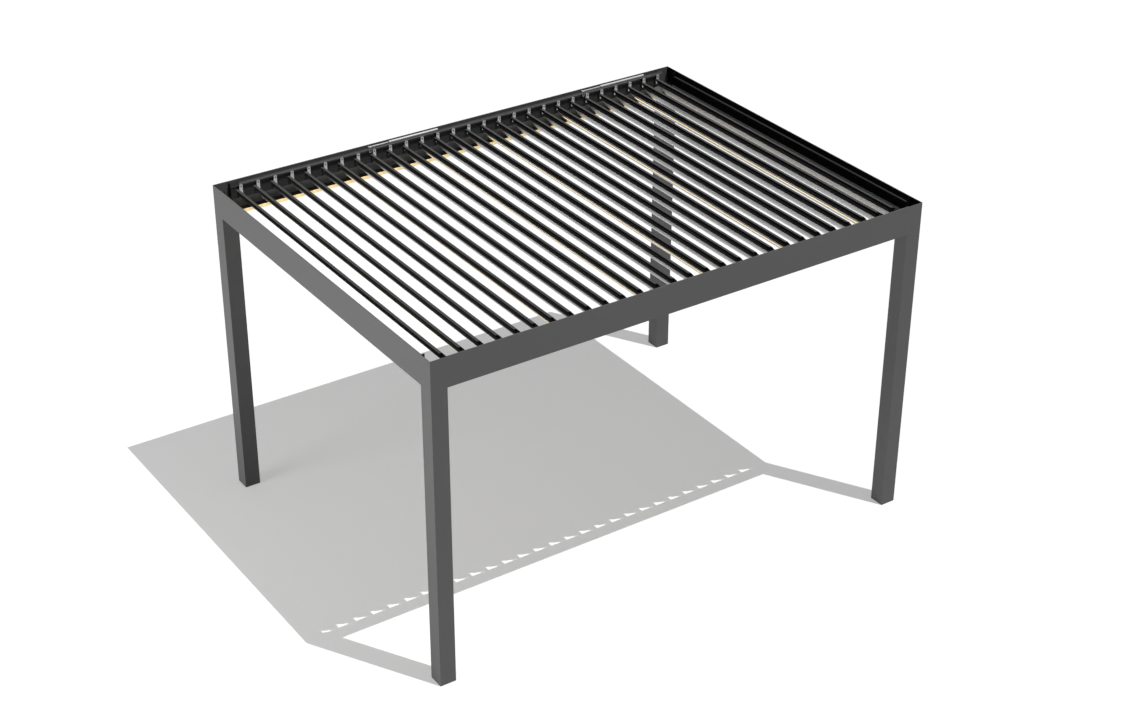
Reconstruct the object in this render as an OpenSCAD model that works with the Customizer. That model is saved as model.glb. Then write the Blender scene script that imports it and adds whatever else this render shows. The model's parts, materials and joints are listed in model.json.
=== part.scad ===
// Free-standing louvered pergola. Its interlocking roof louvres turn together: a push bar
// joins the levers at their back ends, and two linear actuators move it.
// Millimetres. The origin is on the ground at the centre of the footprint, X runs along
// the long side, +Y points to the back and +Z up.

/* [Frame] */
// Outside length of the roof frame, along X
frame_length = 4000; // [3000:10:4300]
// Outside depth of the roof frame, along Y
frame_depth = 3000; // [2000:10:4000]
// Height from the ground to the top edge of the beams
frame_height = 2500; // [2000:10:3000]
// Width of each square post
post_width = 120; // [110:1:160]
// Wall of each post
post_wall = 3; // [2:0.5:6]
// Height of the beams
beam_height = 220; // [200:1:260]
// Wall of the beams
beam_wall = 3; // [2:0.5:5]
// Depth of the gutter floor, from the outside of a beam to its inner edge
gutter_depth = 100; // [90:1:110]
// Height of the gutter's inner lip
lip_height = 28; // [20:1:32]

/* [Post feet] */
// Thickness of the base plate inside each post
foot_thickness = 8; // [6:1:15]
// Distance between the anchor holes of a base plate
foot_hole_spacing = 80; // [60:1:90]
// Diameter of an anchor hole
foot_hole_d = 13; // [9:0.5:16]

/* [Pivot rails] */
// How far a rail stands in from the outside of the frame
rail_reach = 35; // [30:1:45]
// Height of a rail
rail_height = 92; // [86:1:96]
// Distance from the top edge of the beams down to the top of a rail
rail_drop = 42; // [40:1:46]
// Depth of the step that runs along a rail
rail_step = 4; // [2:0.5:8]
// Height of a rail below that step
rail_foot_height = 43; // [38:1:50]
// Thickness of the web that carries a rail up to the top edge of its beam
rail_web = 4; // [3:0.5:5]

/* [Louvres] */
// Distance from one louvre to the next
louvre_pitch = 136; // [130:0.5:160]
// Gap between the undersides of two closed louvres
blade_gap = 7; // [6:0.5:9]
// Thickness of the louvre's body
blade_thickness = 36; // [30:0.5:38]
// Reach of the upper arm over the next louvre
arm_reach = 62; // [50:1:66]
// Gap between the tip of that arm and the next louvre's shoulder
arm_clearance = 8; // [7:0.5:12]
// Height of the arm's tip above the underside
arm_rise = 20; // [18:0.5:24]
// Width of the sloping nose of the arm
nose_width = 19; // [12:0.5:24]
// Height of the short wall between the underside and the arm
heel_height = 8; // [6:0.5:10]
// Angle of the louvres from closed, as they stand
open_angle = 49; // [0:1:60]
// Distance from the outside of the frame to the front end of the blades
blade_front_inset = 90; // [60:1:110]
// Distance from the outside of the frame to the back end of the blades
blade_back_inset = 125; // [110:1:180]
// Wall of the hollow blades
blade_wall = 2; // [1.5:0.25:3]
// Thickness of an end cap
cap_thickness = 4; // [2:0.5:6]
// Distance from the foot of the shoulder back to the pivot
pivot_setback = 12; // [11:1:18]
// Height of the pivot above the underside
pivot_above = 18; // [15:0.5:22]
// Distance from the top edge of the beams down to the pivots
pivot_drop = 108; // [104:1:112]
// Diameter of the pivot shafts
shaft_d = 10; // [8:0.5:14]
// Depth of the pivot holes in the rails
socket_depth = 20; // [10:1:25]

/* [Light strips] */
// Width of the light strip under a lit louvre
louvre_light_width = 20; // [6:1:24]
// Thickness of a light strip
light_thickness = 2; // [1:0.5:4]
// Height of the light strip on a gutter lip
lip_light_height = 24; // [12:1:26]

/* [Levers and push bar] */
// Distance from a pivot to the pin at the top of its lever
lever_length = 72; // [66:1:74]
// Thickness of a lever
lever_thickness = 6; // [4:0.5:8]
// Width of a lever at its top
lever_top_width = 22; // [18:1:28]
// Width of a lever at its hub
lever_hub_width = 36; // [30:1:44]
// Diameter of the lever pins
lever_pin_d = 6; // [4:0.5:8]
// Height of the push bar
bar_height = 15; // [10:1:18]
// Thickness of the push bar
bar_thickness = 6; // [4:0.5:8]
// Distance from the lever pins up to the lower edge of the push bar
bar_lift = 15; // [12:1:18]
// Distance from the outside of the frame to the back face of the push bar
bar_inset = 45; // [42:1:50]

/* [Actuators] */
// Diameter of an actuator tube
tube_d = 20; // [16:1:22]
// Length of an actuator tube
tube_length = 417; // [350:1:500]
// Diameter of an actuator rod
rod_d = 10; // [8:0.5:12]
// Length of rod that shows as the louvres stand
rod_showing = 170; // [120:1:200]
// Distance from the end of a rod to the lever behind it
rod_offset = 27; // [25:1:35]
// Distance from the outside of the frame to the actuators' centre line
actuator_inset = 20; // [19:1:22]
// Distance from the top edge of the beams down to the actuators' centre line
actuator_drop = 13; // [12:1:16]

/* [Clearances] */
// Radial clearance of a shaft, pin or rod in its hole
running_clearance = 0.1; // [0.05:0.05:0.2]
// Gap between the levers and the push bar, and between the push bar and the drive plates
side_gap = 1; // [0.5:0.5:2]
// Gap between the end of a shaft and the bottom of its hole
shaft_end_gap = 1; // [0.5:0.5:3]
// Gap of a sealed gutter joint, measured along a beam on each side
seal_gap = 0.15; // [0.1:0.05:0.5]
// Sideways play of the push bar's stud in a drive plate, on each side
drive_play = 2.2; // [2:0.1:3]

/* [Hidden] */
$fn = 48;
beam_bottom = frame_height - beam_height;
half_length = frame_length / 2;
half_depth = frame_depth / 2;

rail_top = frame_height - rail_drop;
rail_bottom = rail_top - rail_height;
rail_length_x = frame_length - 2 * post_width;
rail_length_y = frame_depth - 2 * post_width;
rail_plate_drop = 8;
rail_plate = 3;

pivot_z = frame_height - pivot_drop;
// As many louvres as close without touching the side rails. The pivots stand a little right
// of centre, which leaves room for the arms on the left
blade_width = louvre_pitch - blade_gap;
row_end_gap = 20;
row_length = frame_length - 2 * (rail_reach + row_end_gap);
louvre_count = floor((row_length - arm_reach - blade_width) / louvre_pitch) + 1;
row_shift = 28;
first_pivot_x = row_shift - louvre_pitch * (louvre_count - 1) / 2;
blade_front_y = blade_front_inset - half_depth;
blade_back_y = half_depth - blade_back_inset;
lip_light_lift = 1.5;
light_end_gap = 20;

// The louvre's section with its underside level, measured from the foot of the heel
tip_thickness = 3;
channel_lip = 4;
lip_bevel = 2;
shoulder_run = 16;
shoulder_height = 13;
shoulder_end = louvre_pitch - arm_reach - arm_clearance;
shoulder_start = shoulder_end - shoulder_run;
lip_slope_run = 28;
slope_end = shoulder_end + lip_slope_run;
pivot_across = shoulder_end - pivot_setback;
blade_section = [
    [0, 0],
    [blade_width, 0],
    [blade_width, channel_lip],
    [blade_width - tip_thickness, channel_lip],
    [blade_width - tip_thickness - lip_bevel, tip_thickness],
    [slope_end, tip_thickness],
    [shoulder_end, shoulder_height],
    [shoulder_start, blade_thickness],
    [nose_width - arm_reach, blade_thickness],
    [-arm_reach, arm_rise],
    [0, heel_height]
];

// The blade is an extrusion, hollow from the arm to the foot of the slope beyond the shoulder
hollow_outline = [
    [0, 0],
    [slope_end, 0],
    [shoulder_end, shoulder_height],
    [shoulder_start, blade_thickness],
    [nose_width - arm_reach, blade_thickness],
    [-arm_reach, arm_rise],
    [0, heel_height]
];

// Unit vector that points inwards from one side of an outline drawn anticlockwise
function inward(from, to) = [from.y - to.y, to.x - from.x] / norm(to - from);

// The outline moved inwards by a wall
function inset(outline, wall) = [
    for (i = [0 : len(outline) - 1])
        let (
            before = inward(outline[(i + len(outline) - 1) % len(outline)], outline[i]),
            after = inward(outline[i], outline[(i + 1) % len(outline)])
        )
        outline[i] + (before + after) * wall / (1 + before * after)
];

// How far a cut runs past the surface that it opens, and how far joined shapes sink together
past = 1;
seat = 1;

bar_back_y = half_depth - bar_inset;
bar_front_y = bar_back_y - bar_thickness;
lever_back_y = bar_front_y - side_gap;
lever_front_y = lever_back_y - lever_thickness;
lever_pin_z = pivot_z + lever_length;
bar_bottom = lever_pin_z + bar_lift;
bar_overhang_left = 10;
bar_overhang_right = 45;
ear_width = 12;
lever_hub_r = 12;
prong_height = 10;
prong_gap = 7;

drive_thickness = 3;
drive_front_y = bar_back_y + side_gap;
actuator_y = half_depth - actuator_inset;
actuator_z = frame_height - actuator_drop;
stud_d = 6;
stud_z = bar_bottom + bar_height / 2;
// The slot reaches down as far as the push bar sinks while the louvres close
slot_spare = 1;
slot_top = stud_z + stud_d / 2 + slot_spare;
slot_bottom = stud_z - stud_d / 2 - slot_spare - lever_length * (1 - cos(open_angle));
drive_rim = 4;
drive_step = 1;
rod_end_size = 14;
// The left actuator takes hold a third of the way along the row, and the right one as far
// along as leaves room behind its saddle before the end of the rail
saddle_end_room = 60;
last_rod_x = rail_length_x / 2 - rail_plate - saddle_end_room - tube_length - rod_showing + rod_offset;
rod_louvres = [round(louvre_count / 3), floor((last_rod_x - first_pivot_x) / louvre_pitch) + 1];
tube_end_wall = 12;
nose_length = 14;
tube_bore_d = rod_d + 3;
rod_stroke_room = 75;
rod_in_tube = tube_length - tube_end_wall - rod_stroke_room;
saddle_length = 30;
saddle_wall = 3;

// Two-digit number of a louvre, as its node's name has it
function two_digits(number) = str(number < 10 ? "0" : "", number);
lit_louvres = [for (i = [2, 7, 12, 16, 21, 26]) if (i <= louvre_count) i];

// Post: a square tube with a closed top that carries the corner of two beams
module post(side_x, side_y) {
    inner_width = post_width - 2 * post_wall;
    color([0.33, 0.33, 0.34])
    translate([side_x * (half_length - post_width / 2), side_y * (half_depth - post_width / 2), 0])
    difference() {
        translate([-post_width / 2, -post_width / 2, 0])
            cube([post_width, post_width, beam_bottom]);
        translate([-inner_width / 2, -inner_width / 2, -past])
            cube([inner_width, inner_width, beam_bottom - post_wall + past]);
    }
}

// Base plate that fills the foot of a post, with four anchor holes
module post_foot() {
    inner_width = post_width - 2 * post_wall;
    difference() {
        translate([-inner_width / 2, -inner_width / 2, 0])
            cube([inner_width, inner_width, foot_thickness]);
        for (x = [-1, 1], y = [-1, 1])
            translate([x * foot_hole_spacing / 2, y * foot_hole_spacing / 2, -past])
                cylinder(d = foot_hole_d, h = foot_thickness + 2 * past);
    }
}

module post_feet() {
    color([0.6, 0.6, 0.6])
    for (x = [-1, 1], y = [-1, 1])
        translate([x * (half_length - post_width / 2), y * (half_depth - post_width / 2), 0])
            post_foot();
}

// Beam section: a plain outer wall; first coordinate from the outside in
module beam_section() {
    square([beam_wall, beam_height]);
}

// Gutter section: the floor behind a beam's wall, with an upright lip along its inner edge
module gutter_section() {
    translate([beam_wall, 0])
        square([gutter_depth - beam_wall, beam_wall]);
    translate([gutter_depth - beam_wall, 0])
        square([beam_wall, lip_height]);
}

// Lays a section along X, centred, with its outer face on the front side of the frame
module along_front(depth, length) {
    translate([-length / 2, -depth / 2, 0])
    rotate([90, 0, 90])
    linear_extrude(length)
        children();
}

// Lays a section along the front, as long as the frame, with its ends mitred in plan
module mitred(depth, length, joint_gap) {
    intersection() {
        translate([0, 0, beam_bottom])
        along_front(depth, length)
            children();
        translate([0, -depth / 2, 0])
        linear_extrude(frame_height + past)
        polygon([
            [-length / 2 + joint_gap, 0],
            [length / 2 - joint_gap, 0],
            [length / 2 - joint_gap - post_width, post_width],
            [-length / 2 + joint_gap + post_width, post_width]
        ]);
    }
}

module front_beam() {
    color([0.35, 0.35, 0.36])
    mitred(frame_depth, frame_length, 0)
        beam_section();
}

module back_beam() {
    color([0.3, 0.3, 0.31])
    rotate([0, 0, 180])
    mitred(frame_depth, frame_length, 0)
        beam_section();
}

module left_beam() {
    color([0.48, 0.48, 0.49])
    rotate([0, 0, -90])
    mitred(frame_length, frame_depth, 0)
        beam_section();
}

module right_beam() {
    color([0.3, 0.3, 0.31])
    rotate([0, 0, 90])
    mitred(frame_length, frame_depth, 0)
        beam_section();
}

// Gutter trays behind the four beams, with a sealed joint at each corner
module gutters() {
    color([0.2, 0.2, 0.21])
    for (turn = [0, 90, 180, 270])
        rotate([0, 0, turn])
        mitred(turn % 180 == 0 ? frame_depth : frame_length,
            turn % 180 == 0 ? frame_length : frame_depth, seal_gap)
            gutter_section();
}

// Rail section: a stepped profile on the inside of a beam's outer wall, with a web to its top edge
module rail_section() {
    translate([beam_wall, rail_bottom])
        square([rail_web, frame_height - rail_bottom]);
    translate([beam_wall, rail_bottom])
        square([rail_reach - beam_wall, rail_foot_height]);
    translate([beam_wall, rail_bottom])
        square([rail_reach - beam_wall - rail_step, rail_height]);
    translate([rail_reach - rail_step - beam_wall, rail_top - beam_wall])
        square([beam_wall + rail_step, beam_wall]);
}

// Rail along the front, closed by a plate at each end
module rail(depth, length) {
    along_front(depth, length)
        rail_section();
    for (side = [-1, 1])
        translate([side * (length - rail_plate) / 2, 0, 0])
        along_front(depth, rail_plate)
        translate([beam_wall, rail_bottom])
            square([rail_reach - beam_wall, frame_height - rail_plate_drop - rail_bottom]);
}

// Centre of a louvre's pivot along X; louvres are counted from the left
function pivot_x(number) = first_pivot_x + louvre_pitch * (number - 1);

// Rail with a blind pivot hole for each louvre
module pivot_rail(mirrored) {
    difference() {
        rail(frame_depth, rail_length_x);
        for (i = [1 : louvre_count])
            translate([mirrored * pivot_x(i), rail_reach - half_depth - socket_depth, pivot_z])
            rotate([-90, 0, 0])
                cylinder(d = shaft_d + 2 * running_clearance, h = socket_depth + past);
    }
}

module front_pivot_rail() {
    color([0.14, 0.14, 0.15])
    pivot_rail(1);
}

module back_pivot_rail() {
    color([0.14, 0.14, 0.15])
    rotate([0, 0, 180])
    pivot_rail(-1);
}

module left_rail() {
    color([0.1, 0.1, 0.11])
    rotate([0, 0, -90])
    rail(frame_length, rail_length_y);
}

module right_rail() {
    color([0.1, 0.1, 0.11])
    rotate([0, 0, 90])
    rail(frame_length, rail_length_y);
}

// Light strips on the inner faces of the four gutter lips
module gutter_lights() {
    color([1, 0.87, 0.6])
    for (turn = [0, 90, 180, 270]) {
        depth = turn % 180 == 0 ? frame_depth : frame_length;
        length = turn % 180 == 0 ? rail_length_x : rail_length_y;
        rotate([0, 0, turn])
        translate([0, 0, beam_bottom + lip_light_lift])
        along_front(depth, length)
        translate([gutter_depth, 0])
            square([light_thickness, lip_light_height]);
    }
}

// Puts a louvre section, drawn with its underside level, at the angle of the standing louvre
// and carries it from one Y to another, with the pivot on the Y axis
module louvre_extrusion(from_y, to_y) {
    translate([0, to_y, 0])
    rotate([90, 0, 0])
    linear_extrude(to_y - from_y)
    rotate(-open_angle)
    translate([-pivot_across, -pivot_above])
        children();
}

// Section of the blade: webs above the heel and under the pivot, and a bored boss at the pivot
module blade_profile() {
    difference() {
        polygon(blade_section);
        difference() {
            polygon(inset(hollow_outline, blade_wall));
            square([blade_wall, blade_thickness]);
            translate([pivot_across - blade_wall / 2, 0])
                square([blade_wall, pivot_above]);
            translate([pivot_across, pivot_above])
                circle(d = shaft_d + 2 * blade_wall);
        }
        translate([pivot_across, pivot_above])
            circle(d = shaft_d);
    }
}

// Upright lever: a tapering plate with a hub on the shaft and a pin hole between two prongs
module lever() {
    translate([0, lever_back_y, 0])
    rotate([90, 0, 0])
    linear_extrude(lever_thickness)
    difference() {
        union() {
            circle(r = lever_hub_r);
            polygon([
                [-lever_hub_width / 2, lever_hub_r],
                [-lever_hub_r, 0],
                [lever_hub_r, 0],
                [lever_top_width / 2, lever_length + prong_height],
                [-lever_top_width / 2, lever_length + prong_height]
            ]);
        }
        translate([-prong_gap / 2, lever_length + prong_height / 2])
            square([prong_gap, prong_height]);
        translate([0, lever_length])
            circle(d = lever_pin_d + 2 * running_clearance);
    }
}

// Where the shafts end in the holes of the front (-1) or back (1) rail
function shaft_end_y(side) = side * (half_depth - rail_reach + socket_depth - shaft_end_gap);

// Pivot shaft along Y, from one place to another
module shaft(from_y, to_y) {
    translate([0, from_y, 0])
    rotate([-90, 0, 0])
        cylinder(d = shaft_d, h = to_y - from_y);
}

// Louvre: hollow blade, an end cap at each end, pivot shafts and the lever at the back
module louvre(number) {
    translate([pivot_x(number), 0, pivot_z]) {
        color([0.14, 0.14, 0.15])
        louvre_extrusion(blade_front_y, blade_back_y)
            blade_profile();
        color([0.05, 0.05, 0.05]) {
            louvre_extrusion(blade_front_y - cap_thickness, blade_front_y)
                polygon(blade_section);
            louvre_extrusion(blade_back_y, blade_back_y + cap_thickness)
                polygon(blade_section);
        }
        color([0.6, 0.6, 0.6]) {
            shaft(shaft_end_y(-1), blade_front_y - cap_thickness + seat);
            shaft(blade_back_y + cap_thickness - seat, shaft_end_y(1));
        }
        color([0.75, 0.75, 0.76])
        lever();
    }
}

// Light strip along the underside of a louvre, below its pivot
module louvre_light(number) {
    color([1, 0.87, 0.6])
    translate([pivot_x(number), 0, pivot_z])
    louvre_extrusion(blade_front_y + light_end_gap, blade_back_y - light_end_gap)
    translate([pivot_across - louvre_light_width / 2, -light_thickness])
        square([louvre_light_width, light_thickness]);
}

// Push bar: a flat bar with an ear and a pin over each lever, and a stud behind for each actuator
module push_bar() {
    left_end = pivot_x(1) - bar_overhang_left;
    right_end = pivot_x(louvre_count) + bar_overhang_right;
    color([0.38, 0.38, 0.39]) {
        translate([left_end, bar_front_y, bar_bottom])
            cube([right_end - left_end, bar_thickness, bar_height]);
        for (i = [1 : louvre_count])
            translate([pivot_x(i), 0, lever_pin_z]) {
                translate([-ear_width / 2, bar_front_y, 0])
                    cube([ear_width, bar_thickness, bar_lift + seat]);
                translate([0, bar_back_y, 0])
                rotate([90, 0, 0])
                    cylinder(d = ear_width, h = bar_thickness);
                translate([0, bar_back_y, 0])
                rotate([90, 0, 0])
                    cylinder(d = lever_pin_d, h = bar_back_y - lever_front_y);
            }
        for (i = rod_louvres)
            translate([pivot_x(i) - rod_offset, bar_back_y - seat, stud_z])
            rotate([-90, 0, 0])
                cylinder(d = stud_d, h = seat + side_gap + drive_thickness);
    }
}

// Actuator tube, closed at its back end, with a bore that guides the rod at its nose
module actuator_tube(number) {
    color([0.8, 0.8, 0.81])
    translate([pivot_x(number) - rod_offset + rod_showing, actuator_y, actuator_z])
    rotate([0, 90, 0])
    difference() {
        cylinder(d = tube_d, h = tube_length);
        translate([0, 0, -past])
            cylinder(d = rod_d + 2 * running_clearance, h = nose_length + 2 * past);
        translate([0, 0, nose_length])
            cylinder(d = tube_bore_d, h = tube_length - nose_length - tube_end_wall);
    }
}

// Actuator rod whose end block and drive plate hold the push bar's stud in an upright slot
module actuator_rod(number) {
    slot_width = stud_d + 2 * drive_play;
    plate_width = slot_width + 2 * drive_rim;
    plate_bottom = slot_bottom - drive_rim;
    plate_top = actuator_z + rod_end_size / 2 - drive_step;
    color([0.72, 0.72, 0.73])
    translate([pivot_x(number) - rod_offset, 0, 0])
    difference() {
        union() {
            translate([0, actuator_y, actuator_z])
            rotate([0, 90, 0])
                cylinder(d = rod_d, h = rod_showing + rod_in_tube);
            translate([-rod_end_size / 2, drive_front_y + seat, actuator_z - rod_end_size / 2])
                cube([rod_end_size, actuator_y + rod_end_size / 2 - drive_front_y - seat, rod_end_size]);
            translate([-plate_width / 2, drive_front_y, plate_bottom])
                cube([plate_width, drive_thickness, plate_top - plate_bottom]);
        }
        translate([-slot_width / 2, drive_front_y - side_gap, slot_bottom])
            cube([slot_width, drive_thickness + 2 * side_gap, slot_top - slot_bottom]);
    }
}

// Saddles on the back rail, against its web, that hold the actuator tubes by their closed ends
module actuator_saddles() {
    saddle_front_y = actuator_y - tube_d / 2 - saddle_wall;
    saddle_back_y = half_depth - beam_wall - rail_web;
    color([0.2, 0.2, 0.21])
    for (i = rod_louvres)
        translate([pivot_x(i) - rod_offset + rod_showing + tube_length - saddle_length, 0, 0])
        difference() {
            translate([0, saddle_front_y, rail_top])
                cube([saddle_length, saddle_back_y - saddle_front_y, actuator_z - rail_top]);
            translate([-past, actuator_y, actuator_z])
            rotate([0, 90, 0])
                cylinder(d = tube_d + 2 * running_clearance, h = saddle_length + 2 * past);
        }
}

post(-1, -1);  // post_front_left
post(1, -1);  // post_front_right
post(-1, 1);  // post_back_left
post(1, 1);  // post_back_right
post_feet();
front_beam();
back_beam();
left_beam();
right_beam();
front_pivot_rail();
back_pivot_rail();
left_rail();
right_rail();
gutters();
gutter_lights();
for (i = [1 : louvre_count])
    louvre(i);
for (i = lit_louvres)
    louvre_light(i);
push_bar();
actuator_tube(rod_louvres[0]);  // actuator_tube_left
actuator_tube(rod_louvres[1]);  // actuator_tube_right
actuator_rod(rod_louvres[0]);  // actuator_rod_left
actuator_rod(rod_louvres[1]);  // actuator_rod_right
actuator_saddles();
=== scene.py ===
"""Looks of the louvered pergola: finishes, light, camera and the small fasteners.

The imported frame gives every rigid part. X runs along the long side, +Y to the side with the
push bar and +Z up, in metres, with the origin on the ground at the centre of the footprint.
"""

import json
import math

import bpy
import numpy as np
from mathutils import Matrix, Vector


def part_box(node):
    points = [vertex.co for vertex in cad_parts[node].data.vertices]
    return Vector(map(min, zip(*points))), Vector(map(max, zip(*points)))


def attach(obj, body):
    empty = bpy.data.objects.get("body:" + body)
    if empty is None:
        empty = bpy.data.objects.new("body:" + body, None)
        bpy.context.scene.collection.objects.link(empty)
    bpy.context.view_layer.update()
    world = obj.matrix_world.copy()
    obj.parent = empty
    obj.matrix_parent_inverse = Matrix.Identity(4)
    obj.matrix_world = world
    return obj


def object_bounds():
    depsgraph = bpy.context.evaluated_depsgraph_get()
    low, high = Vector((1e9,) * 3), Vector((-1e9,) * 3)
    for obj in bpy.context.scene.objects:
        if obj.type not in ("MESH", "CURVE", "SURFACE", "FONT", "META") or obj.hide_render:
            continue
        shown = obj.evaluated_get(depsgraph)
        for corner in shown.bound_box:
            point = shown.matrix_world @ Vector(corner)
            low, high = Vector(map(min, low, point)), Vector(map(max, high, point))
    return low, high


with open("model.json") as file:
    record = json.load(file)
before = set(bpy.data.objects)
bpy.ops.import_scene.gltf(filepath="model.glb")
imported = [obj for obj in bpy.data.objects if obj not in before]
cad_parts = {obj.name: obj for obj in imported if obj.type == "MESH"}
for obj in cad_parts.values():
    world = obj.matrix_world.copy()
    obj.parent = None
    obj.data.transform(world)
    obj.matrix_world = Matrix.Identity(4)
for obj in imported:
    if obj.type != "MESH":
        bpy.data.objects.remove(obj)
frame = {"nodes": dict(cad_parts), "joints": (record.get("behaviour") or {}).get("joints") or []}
cad_low, cad_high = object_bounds()
nodes = frame["nodes"]
joints = {joint["name"]: joint for joint in frame["joints"]}

# Sizes taken from the frame, and some given as numbers
half_x = cad_high[0]
half_y = cad_high[1]
frame_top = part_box("front_beam")[1][2]
rail_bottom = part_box("back_pivot_rail")[0][2]
rail_shelf = frame_top - 0.042
turn_joints = sorted(
    name for name in joints if name.startswith("louvre_") and name.endswith("_turn")
)
pivots = [Vector(joints[name]["pos_m"]) for name in turn_joints]
bar_pin = Vector(joints["push_bar_swing"]["pos_m"])
bar_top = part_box("push_bar")[1][2]
bar_height = 0.015
bar_back = 1.455
rail_face_inset = 0.031

# The louvre's section in the closed position: the foot of its heel is at 0 across and 0 up
pitch = pivots[1].x - pivots[0].x
left_of_pivot = 0.09
open_angle = math.radians(49.0)
pivot_across = 0.054
pivot_above = 0.018
heel_height = 0.008
arm_reach = 0.062
arm_slope = 0.012 / arm_reach
strip_thickness = 0.002
hub_radius = 0.012

# Places along a louvre
blade_front = -1.41
blade_back = 1.375
cap_thickness = 0.004
lever_front = 1.4415

# Depth of an outer skin, and half a gap between two faces, for masks
skin = 0.0012
skin_gap = 0.0005


# Meshes


def grid_mesh(name, points, close_u=False, close_v=False):
    """Mesh of a grid of points with shape (rows, columns, 3). Neighbouring points of a row and
    of a column are joined by quads; close_u joins the last row to the first, and close_v the
    last column to the first."""
    rows, columns = points.shape[:2]
    u = np.arange(rows if close_u else rows - 1)
    v = np.arange(columns if close_v else columns - 1)
    a = u[:, None] * columns + v[None, :]
    b = u[:, None] * columns + (v[None, :] + 1) % columns
    c = (u[:, None] + 1) % rows * columns + (v[None, :] + 1) % columns
    d = (u[:, None] + 1) % rows * columns + v[None, :]
    faces = np.stack([a, b, c, d], -1).reshape(-1, 4).tolist()
    mesh = bpy.data.meshes.new(name)
    mesh.from_pydata(points.reshape(-1, 3).tolist(), [], faces)
    mesh.update()
    return mesh


def revolve(profile, sides):
    """Points of a turned shape: ring i has the radius and height of profile[i], and its points
    stand at equal angles round the axis, which is Z."""
    profile = np.asarray(profile, float)
    angles = np.arange(sides) * 2 * math.pi / sides
    ring = np.stack([np.cos(angles), np.sin(angles)], -1)
    flat = profile[:, 0][:, None, None] * ring[None]
    height = np.broadcast_to(profile[:, 1][:, None, None], flat.shape[:2] + (1,))
    return np.concatenate([flat, height], -1)


def joined(name, parts):
    """One object made of several grids, each given as (points, place matrix). Every grid is a
    stack of closed rings, so its first and last ring are capped."""
    verts, faces, start = [], [], 0
    for points, place in parts:
        rows, columns = points.shape[:2]
        flat = points.reshape(-1, 3) @ np.array(place.to_3x3()).T + np.array(place.translation)
        u, v = np.meshgrid(np.arange(rows - 1), np.arange(columns), indexing="ij")
        after = (v + 1) % columns
        here, above = u * columns, (u + 1) * columns
        quads = np.stack([here + v, here + after, above + after, above + v], -1)
        faces += (quads.reshape(-1, 4) + start).tolist()
        faces.append([start + i for i in range(columns)][::-1])
        faces.append([start + (rows - 1) * columns + i for i in range(columns)])
        verts.append(flat)
        start += rows * columns
    mesh = bpy.data.meshes.new(name)
    mesh.from_pydata(np.concatenate(verts).tolist(), [], faces)
    mesh.update()
    piece = bpy.data.objects.new(name, mesh)
    bpy.context.scene.collection.objects.link(piece)
    return piece


def facing(direction, place):
    """Matrix that turns +Z to a direction and moves the origin to a place."""
    turn = Vector(direction).to_track_quat("Z", "Y").to_matrix().to_4x4()
    return Matrix.Translation(Vector(place)) @ turn


# Shader maths


class Wire:
    """A socket of a node tree whose arithmetic adds Math nodes."""

    def __init__(self, tree, socket):
        self.tree = tree
        self.socket = socket

    def math(self, operation, *others):
        terms = dict(enumerate((self,) + others))
        return self.tree.add("ShaderNodeMath", {"operation": operation}, terms)

    def __add__(self, other):
        return self.math("ADD", other)

    def __mul__(self, other):
        return self.math("MULTIPLY", other)

    def __sub__(self, other):
        return self.math("SUBTRACT", other)

    def __rsub__(self, other):
        return self.tree.value_math("SUBTRACT", other, self)

    def __gt__(self, other):
        return self.math("GREATER_THAN", other)

    def __lt__(self, other):
        return self.math("LESS_THAN", other)

    def __abs__(self):
        return self.math("ABSOLUTE")

    def clamped(self):
        return self.tree.add("ShaderNodeClamp", {}, {"Value": self})


class Tree:
    """The node tree of one material or world."""

    def __init__(self, holder):
        holder.use_nodes = True
        self.tree = holder.node_tree
        self.tree.nodes.clear()

    def add(self, kind, settings, inputs, output=0):
        """Adds a node of a type, with its settings first and then its inputs, and returns the
        named or numbered output as a Wire."""
        node = self.tree.nodes.new(kind)
        for key, value in settings.items():
            setattr(node, key, value)
        for key, value in inputs.items():
            if isinstance(value, Wire):
                self.tree.links.new(value.socket, node.inputs[key])
            else:
                node.inputs[key].default_value = value
        return Wire(self, node.outputs[output])

    def end(self, kind, surface):
        """Joins a shader to the tree's output node."""
        out = self.tree.nodes.new(kind)
        self.tree.links.new(surface.socket, out.inputs["Surface"])

    def value_math(self, operation, first, second):
        return self.add("ShaderNodeMath", {"operation": operation}, {0: first, 1: second})

    def place(self):
        """Object coordinates as a vector and its three parts."""
        vector = self.add("ShaderNodeTexCoord", {}, {}, "Object")
        parts = [self.add("ShaderNodeSeparateXYZ", {}, {0: vector}, axis) for axis in range(3)]
        return vector, parts

    def noise(self, vector, scale, detail=3.0):
        """Soft noise from 0 to 1; one metre holds about as many patches as the scale says."""
        values = {"Vector": vector, "Scale": scale, "Detail": detail, "Roughness": 0.5}
        return self.add("ShaderNodeTexNoise", {"noise_dimensions": "3D"}, values, "Fac")

    def mix(self, factor, first, second):
        """Colour between two colours."""
        return self.add("ShaderNodeMix", {"data_type": "RGBA"}, {0: factor, 6: first, 7: second}, 2)

    def bump(self, height, strength, distance):
        """Normal of a surface with these heights."""
        values = {"Strength": strength, "Distance": distance, "Height": height}
        return self.add("ShaderNodeBump", {}, values)


def grey(level):
    """Linear colour of a grey."""
    return (level, level, level, 1.0)


def principled(tree, values):
    """Principled shader with these values, joined to the material's output."""
    tree.end("ShaderNodeOutputMaterial", tree.add("ShaderNodeBsdfPrincipled", {}, values))


def two_coats(tree, factor, first, second):
    """Two principled shaders, mixed by a mask and joined to the material's output."""
    one, other = (tree.add("ShaderNodeBsdfPrincipled", {}, values) for values in (first, second))
    both = tree.add("ShaderNodeMixShader", {}, {0: factor, 1: one, 2: other})
    tree.end("ShaderNodeOutputMaterial", both)


# Finishes, with their painted light and shade


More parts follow.
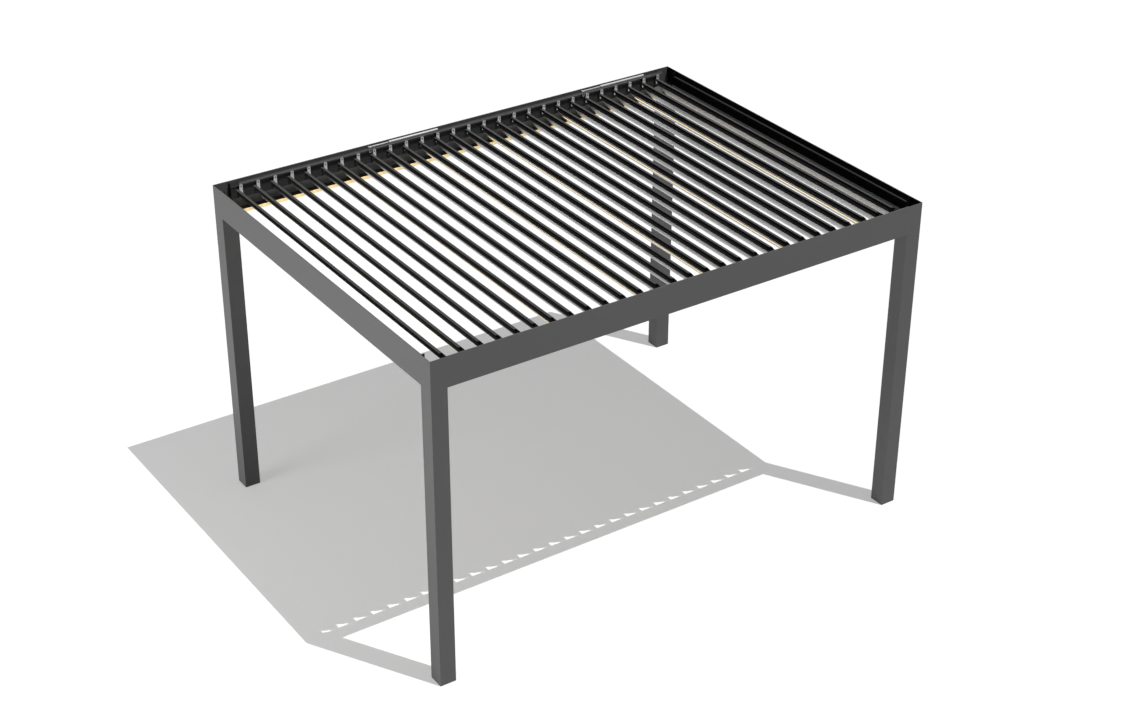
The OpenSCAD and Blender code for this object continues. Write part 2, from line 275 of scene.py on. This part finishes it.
def powder_grain(tree, vector, depth):
    """Normal of a fine textured powder coat: grains of about a millimetre over a soft orange
    peel of several millimetres."""
    grains = tree.noise(vector, 900.0, 2.0)
    peel = tree.noise(vector, 140.0, 1.0)
    height = grains * 0.5 + peel
    return tree.bump(height, depth, 0.0004)


def cloudy(tree, vector, scale, swing):
    """Factor near 1 that drifts slowly over a surface."""
    return tree.noise(vector, scale, 2.0) * swing + (1 - swing / 2)


def tinted(tree, colour, factor):
    """A colour times a varying factor."""
    vector = colour if isinstance(colour, Wire) else colour[:3]
    return tree.add("ShaderNodeVectorMath", {"operation": "SCALE"}, {0: vector, "Scale": factor})


def coating(name, level, roughness, painted_inside_level=None, painted_bands=()):
    """Anthracite powder coat. With a painted inside level, all but the outer skin of the frame and
    its top edge has that grey as painted light and shade, darker for shade and lighter for light
    that falls there, and with little reflection. Each painted band is a mask of the place and its
    own level."""
    material = bpy.data.materials.new(name)
    tree = Tree(material)
    vector, (x, y, z) = tree.place()
    shade = cloudy(tree, vector, 2.3, 0.08)
    outer = {
        "Base Color": tinted(tree, grey(level), shade),
        "Roughness": tree.noise(vector, 45.0) * 0.1 + (roughness - 0.05),
        "Specular IOR Level": 0.3,
        "Normal": powder_grain(tree, vector, 0.25),
    }
    if painted_inside_level is None:
        principled(tree, outer)
        return material
    reach = tree.value_math("MAXIMUM", abs(x) - (half_x - skin), abs(y) - (half_y - skin))
    outside = tree.value_math("MAXIMUM", reach > 0.0, z > (frame_top - skin))
    # Inner faces: painted shade and painted light in place of the light that reaches them, with the
    # painted bands on top
    inside = shade * painted_inside_level
    for band, band_level in painted_bands:
        inside = inside + band(x, z) * (band_level - painted_inside_level)
    inner = {
        **outer,
        "Base Color": tinted(tree, grey(1.0), inside),
        "Specular IOR Level": 0.03,
    }
    two_coats(tree, outside, inner, outer)
    return material


# Masks for the painted bands of light and shade on inner faces
def above_shelf(x, z):
    """The web of a rail, above its shelf."""
    return z > (rail_shelf + skin)


def below_rail(x, z):
    """The panel of a beam between its gutter and its rail."""
    return z < rail_bottom


def rail_foot(x, z):
    """The lower half of a rail's foot."""
    return z < (rail_bottom + 0.026)


def shelf_highlight(x, z):
    """The back of a side rail's shelf, where it meets the web: a thin line of painted highlight."""
    return (abs(z - rail_shelf) < skin) * (abs(x) > (half_x - 0.024))


def metal(name, level, roughness, stretch=(1.0, 1.0, 1.0)):
    """Satin metal with fine drawing lines along its stretched direction."""
    material = bpy.data.materials.new(name)
    tree = Tree(material)
    vector, _ = tree.place()
    lines = tree.add("ShaderNodeMapping", {}, {"Vector": vector, "Scale": stretch})
    streaks = tree.noise(lines, 260.0, 3.0)
    shade = streaks * 0.14 + 0.93
    principled(
        tree,
        {
            "Base Color": tinted(tree, grey(level), shade),
            "Metallic": 0.55,
            "Roughness": streaks * 0.16 + (roughness - 0.08),
            "Normal": tree.bump(streaks, 0.15, 0.0002),
        },
    )
    return material


def bar_paint_and_shade():
    """Grey push bar with painted shade, darker towards its upper edge."""
    material = bpy.data.materials.new("bar_paint_and_shade")
    tree = Tree(material)
    vector, (_, _, z) = tree.place()
    # Painted light and shade: the grey rises from 0.06 at the upper edge to 0.3 at the lower edge
    below_top = ((bar_top - z) * (1 / bar_height)).clamped()
    level = (below_top * 0.24 + 0.06) * cloudy(tree, vector, 5.0, 0.1)
    principled(
        tree,
        {
            "Base Color": tinted(tree, grey(1.0), level),
            "Roughness": tree.noise(vector, 45.0) * 0.1 + 0.4,
            "Specular IOR Level": 0.15,
            "Normal": powder_grain(tree, vector, 0.2),
        },
    )
    return material


def section_place(tree, x, z):
    """Place in a louvre's section as it lies when closed: across from the foot of the heel, and
    up from the underside. The louvres differ by a whole number of pitches only."""
    row_start = pivots[0].x - left_of_pivot
    beside = tree.value_math("FLOORED_MODULO", x - row_start, pitch) - left_of_pivot
    above = z - pivots[0].z
    across = beside * math.cos(open_angle) - above * math.sin(open_angle) + pivot_across
    up = beside * math.sin(open_angle) + above * math.cos(open_angle) + pivot_above
    return across, up


def louvre_paint_and_shade(levels):
    """The whole louvre. The underside is pale, the arm's underside and the heel are a dull black
    with painted shade, deepest at the tip and towards the right of the roof, and the rest is dark
    grey.
    Along Y come the black end caps, the dark shafts and the pale lever."""
    material = bpy.data.materials.new("louvre_paint_and_shade")
    tree = Tree(material)
    vector, (x, y, z) = tree.place()
    across, up = section_place(tree, x, z)
    underside = up < skin_gap
    arm_line = across * (-arm_slope) + (heel_height + skin_gap)
    arm_below = (up < arm_line) * (across < skin_gap) * (1 - underside)
    cap_front = y < blade_front
    cap_back = y > blade_back
    caps = cap_front + cap_back
    lever = (y > lever_front) * (z > (pivots[0].z + hub_radius))
    shaft_front = y < (blade_front - cap_thickness - skin_gap)
    shaft_back = y > (blade_back + cap_thickness + skin_gap)
    bare = shaft_front + shaft_back
    colour = tree.mix(underside, grey(levels["blade"]), grey(levels["underside"]))
    colour = tree.mix(caps, colour, grey(levels["cap"]))
    colour = tree.mix(bare, colour, grey(levels["shaft"]))
    colour = tree.mix(lever, colour, grey(levels["lever"]))
    shade = cloudy(tree, vector, 2.3, 0.1)
    grain = powder_grain(tree, vector, 0.12)
    streaks = tree.noise(vector, 60.0, 2.0)
    general = {
        "Base Color": tinted(tree, colour, shade),
        "Metallic": lever * 0.3,
        "Roughness": streaks * 0.08 + 0.34 + caps * 0.1,
        "Specular IOR Level": 0.12,
        "Normal": grain,
    }
    # Painted shade on the arm's underside and the heel: a little lighter towards the heel and
    # towards the left of the roof, near black at the tip and on the right
    toward_heel = (across * (1 / arm_reach) + 1).clamped()
    toward_left = (x * (-0.5 / half_x) + 0.5).clamped()
    arm_black_and_painted_shade = toward_heel * toward_heel * 0.13 + toward_left * toward_left * 0.07 + 0.005
    painted_shade_arm = {
        "Base Color": tinted(tree, grey(1.0), arm_black_and_painted_shade),
        "Roughness": streaks * 0.08 + 0.8,
        "Specular IOR Level": 0.0,
        "Normal": grain,
    }
    two_coats(tree, arm_below * (1 - bare), general, painted_shade_arm)
    return material


def diffuser(name, strength, in_louvre):
    """Frosted warm diffuser over a row of light sources, softly lit from behind. In a louvre
    its sides are the grey edges of the holder."""
    material = bpy.data.materials.new(name)
    tree = Tree(material)
    vector, (x, _, z) = tree.place()
    warm = (1.0, 0.76, 0.38, 1.0)
    colour = glow = warm
    if in_louvre:
        up = section_place(tree, x, z)[1]
        lens = up < (skin_gap - strip_thickness)
        colour = tree.mix(lens, grey(0.3), warm)
        glow = tree.mix(lens, grey(0.0), warm)
    shade = cloudy(tree, vector, 30.0, 0.06)
    principled(
        tree,
        {
            "Base Color": tinted(tree, colour, shade),
            "Roughness": 0.45,
            "Emission Color": glow,
            "Emission Strength": strength,
            "Normal": tree.bump(tree.noise(vector, 700.0), 0.1, 0.0002),
        },
    )
    return material


anthracite = 0.088
# Painted light and shade on the beams' inner faces: darker for shade, near black inside the right
# beam, lighter inside the back beam, and lighter again on the panels below the rails
frame_coat = coating("frame_coat", anthracite, 0.5, painted_inside_level=0.04, painted_bands=[(below_rail, 0.06)])
right_coat = coating("right_coat", anthracite, 0.5, painted_inside_level=0.006, painted_bands=[(below_rail, 0.1)])
back_coat = coating("back_coat", anthracite, 0.5, painted_inside_level=0.1, painted_bands=[(below_rail, 0.34)])
post_coat = coating("post_coat", anthracite, 0.5)
# Painted shade on the inner faces of the rails; the right rail is near black, with a band of
# painted light on its foot and a thin painted highlight along the back of its shelf
rail_coat = coating("rail_coat", anthracite, 0.45, painted_inside_level=0.03)
side_painted_bands = [(rail_foot, 0.4), (shelf_highlight, 0.07)]
side_rail_coat = coating("side_rail_coat", anthracite, 0.45, painted_inside_level=0.006, painted_bands=side_painted_bands)
# The back rail's web above its shelf is lighter with painted light
back_painted_bands = [(above_shelf, 0.08)]
back_rail_coat = coating("back_rail_coat", anthracite, 0.45, painted_inside_level=0.04, painted_bands=back_painted_bands)
# Painted shade makes the gutters' inner faces near black
gutter_coat = coating("gutter_coat", anthracite, 0.45, painted_inside_level=0.008)
louvre_levels = {"blade": 0.028, "underside": 0.6, "cap": 0.004, "shaft": 0.02, "lever": 0.72}
louvre_coat = louvre_paint_and_shade(louvre_levels)
bar_coat = bar_paint_and_shade()
zinc = metal("zinc", 0.55, 0.4)
dark_steel = metal("dark_steel", 0.05, 0.4)
anodised = metal("anodised", 0.5, 0.35, (0.05, 1.0, 1.0))
rubber = coating("rubber", 0.012, 0.7)
warm_strip = diffuser("warm_strip", 0.4, False)
louvre_strip = diffuser("louvre_strip", 1.05, True)

finishes = {
    "post_": post_coat,
    "front_beam": frame_coat,
    "back_beam": back_coat,
    "left_beam": frame_coat,
    "right_beam": right_coat,
    "front_pivot_rail": rail_coat,
    "back_pivot_rail": back_rail_coat,
    "left_rail": rail_coat,
    "right_rail": side_rail_coat,
    "gutters": gutter_coat,
    "louvre_": louvre_coat,
    "push_bar": bar_coat,
    "actuator_": anodised,
    "post_feet": zinc,
    "louvre_light_": louvre_strip,
    "gutter_lights": warm_strip,
    "actuator_saddles": gutter_coat,
}
for name, piece in nodes.items():
    starts = [start for start in finishes if name.startswith(start)]
    piece.data.materials.clear()
    piece.data.materials.append(finishes[max(starts, key=len)])


# Fasteners, with the screws of a cap placed across and up in the louvre's section

cap_screw_places = ((-0.024, 0.025), (0.03, 0.026))
rail_screw_drop = 0.018
side_screw_reach = 1.25
side_screw_count = 7


def pan_head(radius, height):
    """Head of a screw as rings: an upright rim, a rounded shoulder, a flat top and a round
    recess. Its foot sinks half a millimetre into what it holds."""
    return revolve(
        [
            (radius, -0.0005),
            (radius, height * 0.4),
            (radius * 0.88, height * 0.82),
            (radius * 0.6, height),
            (radius * 0.36, height),
            (radius * 0.33, height * 0.35),
        ],
        16,
    )


def cap_screws(number, pivot):
    """Two screws in each end cap of a louvre, at places of its section."""
    head = pan_head(0.004, 0.0022)
    front, back = blade_front - cap_thickness, blade_back + cap_thickness
    parts = []
    for across, up in cap_screw_places:
        beside, above = across - pivot_across, up - pivot_above
        x = pivot.x + beside * math.cos(open_angle) + above * math.sin(open_angle)
        z = pivot.z - beside * math.sin(open_angle) + above * math.cos(open_angle)
        parts.append((head, facing((0, -1, 0), (x, front, z))))
        parts.append((head, facing((0, 1, 0), (x, back, z))))
    piece = joined(f"cap_screws_{number:02d}", parts)
    piece.data.materials.append(dark_steel)
    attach(piece, f"louvre_{number:02d}")


def pin_caps():
    """Caps on both ends of the push bar's pins: dished ones before the levers, and pan heads on
    the back of the bar."""
    dished = revolve([(0.0055, -0.0003), (0.0055, 0.0008), (0.0042, 0.0019), (0.0015, 0.0023)], 16)
    head = pan_head(0.005, 0.002)
    parts = []
    for pivot in pivots:
        parts.append((dished, facing((0, -1, 0), (pivot.x, lever_front + skin_gap, bar_pin.z))))
        parts.append((head, facing((0, 1, 0), (pivot.x, bar_back, bar_pin.z))))
    piece = joined("pin_caps", parts)
    piece.data.materials.append(dark_steel)
    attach(piece, "push_bar")


def rail_screws():
    """Screws through the four rails: between every third pair of shafts on the front and the
    back, and evenly along the sides."""
    head = pan_head(0.005, 0.0025)
    height = rail_shelf - rail_screw_drop
    face_y = half_y - rail_face_inset
    face_x = half_x - rail_face_inset
    parts = []
    for first, second in list(zip(pivots, pivots[1:]))[::3]:
        x = (first.x + second.x) / 2
        parts.append((head, facing((0, 1, 0), (x, -face_y, height))))
        parts.append((head, facing((0, -1, 0), (x, face_y, height))))
    for y in np.linspace(-side_screw_reach, side_screw_reach, side_screw_count):
        parts.append((head, facing((1, 0, 0), (-face_x, y, height))))
        parts.append((head, facing((-1, 0, 0), (face_x, y, height))))
    piece = joined("rail_screws", parts)
    piece.data.materials.append(dark_steel)
    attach(piece, "frame")


def rod_seal(side):
    """Wiper seal round an actuator's rod: a closed ring whose section is a small block with a
    bevelled nose, on the front face of the tube."""
    low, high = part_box(f"actuator_tube_{side}")
    section = [(0.0088, 0), (0.0088, 0.0015), (0.0068, 0.003), (0.0052, 0.003), (0.0052, 0)]
    place = facing((-1, 0, 0), (low[0], (low[1] + high[1]) / 2, (low[2] + high[2]) / 2))
    points = revolve(section, 32) @ np.array(place.to_3x3()).T + np.array(place.translation)
    name = f"rod_seal_{side}"
    piece = bpy.data.objects.new(name, grid_mesh(name, points, True, True))
    bpy.context.scene.collection.objects.link(piece)
    piece.data.materials.append(rubber)
    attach(piece, "frame")


for number, pivot in enumerate(pivots, 1):
    cap_screws(number, pivot)
pin_caps()
rail_screws()
for side in ("left", "right"):
    rod_seal(side)


# Floor, light and camera


def seen_directly(tree):
    """Mask of the rays that show a thing itself, and not the light it gives to others."""
    rays = ("Is Camera Ray", "Is Glossy Ray", "Is Transmission Ray")
    first, *others = [tree.add("ShaderNodeLightPath", {}, {}, name) for name in rays]
    for ray in others:
        first = tree.value_math("MAXIMUM", first, ray)
    return first


def floor():
    """Square floor of eight by eight patches, white where the key light reaches it."""
    reach = 60.0
    line = np.linspace(-reach, reach, 9)
    x, y = np.meshgrid(line, line)
    points = np.stack([x, y, np.zeros_like(x)], -1)
    piece = bpy.data.objects.new("floor", grid_mesh("floor", points))
    bpy.context.scene.collection.objects.link(piece)
    material = bpy.data.materials.new("pale_floor")
    tree = Tree(material)
    shown = tree.add("ShaderNodeBsdfDiffuse", {}, {"Color": grey(floor_shown)})
    lift = tree.add("ShaderNodeEmission", {}, {"Color": grey(1.0), "Strength": floor_lift})
    both = tree.add("ShaderNodeAddShader", {}, {0: shown, 1: lift})
    plain = tree.add("ShaderNodeBsdfDiffuse", {}, {"Color": grey(floor_colour)})
    seen = seen_directly(tree)
    surface = tree.add("ShaderNodeMixShader", {}, {0: seen, 1: plain, 2: both})
    tree.end("ShaderNodeOutputMaterial", surface)
    piece.data.materials.append(material)


def surroundings():
    """Soft even light, and a white backdrop for the camera and in reflections."""
    world = bpy.data.worlds.new("surroundings")
    bpy.context.scene.world = world
    tree = Tree(world)
    soft = tree.add("ShaderNodeBackground", {}, {"Color": grey(1.0), "Strength": ambient})
    white = tree.add("ShaderNodeBackground", {}, {"Color": grey(1.0), "Strength": 1.0})
    seen = seen_directly(tree)
    surface = tree.add("ShaderNodeMixShader", {}, {0: seen, 1: soft, 2: white})
    tree.end("ShaderNodeOutputWorld", surface)


def lamps():
    """A crisp key light high on the front right, and a broad soft one on the left."""
    key = bpy.data.lights.new("key", "SUN")
    key.energy = key_strength
    key.angle = math.radians(0.12)
    lamp = bpy.data.objects.new("key", key)
    lamp.rotation_euler = Vector(key_travel).to_track_quat("-Z", "Y").to_euler()
    bpy.context.scene.collection.objects.link(lamp)
    fill = bpy.data.lights.new("fill", "AREA")
    fill.shape = "RECTANGLE"
    fill.size, fill.size_y = fill_size
    fill.energy = fill_power
    lamp = bpy.data.objects.new("fill", fill)
    lamp.location = fill_place
    lamp.rotation_euler = (fill_aim - fill_place).to_track_quat("-Z", "Y").to_euler()
    bpy.context.scene.collection.objects.link(lamp)


def camera():
    """Camera solved from the straight edges of the object."""
    data = bpy.data.cameras.new("camera")
    data.sensor_width = 36.0
    data.lens = 66.91
    data.clip_end = 200.0
    piece = bpy.data.objects.new("camera", data)
    turn = (
        Matrix.Rotation(math.radians(camera_heading), 4, "Z")
        @ Matrix.Rotation(math.radians(camera_tilt), 4, "X")
        @ Matrix.Rotation(math.radians(camera_roll), 4, "Z")
    )
    piece.matrix_world = Matrix.Translation(camera_place) @ turn
    bpy.context.scene.collection.objects.link(piece)
    bpy.context.scene.camera = piece


camera_place = (-7.496985, -11.096817, 8.910569)
camera_heading = -34.08927
camera_tilt = 59.79373
camera_roll = 0.20084
key_travel = (-0.209, 0.365, -1.0)
key_strength = 2.5
fill_place = Vector((-8.0, 1.0, 0.9))
fill_aim = Vector((0, 0, 1.5))
fill_size = (3.0, 1.4)
fill_power = 255.0
ambient = 0.2
floor_colour = 0.8
floor_shown = 0.75
floor_lift = 0.32

camera()
surroundings()
lamps()
floor()
bpy.context.scene.view_settings.view_transform = "Standard"
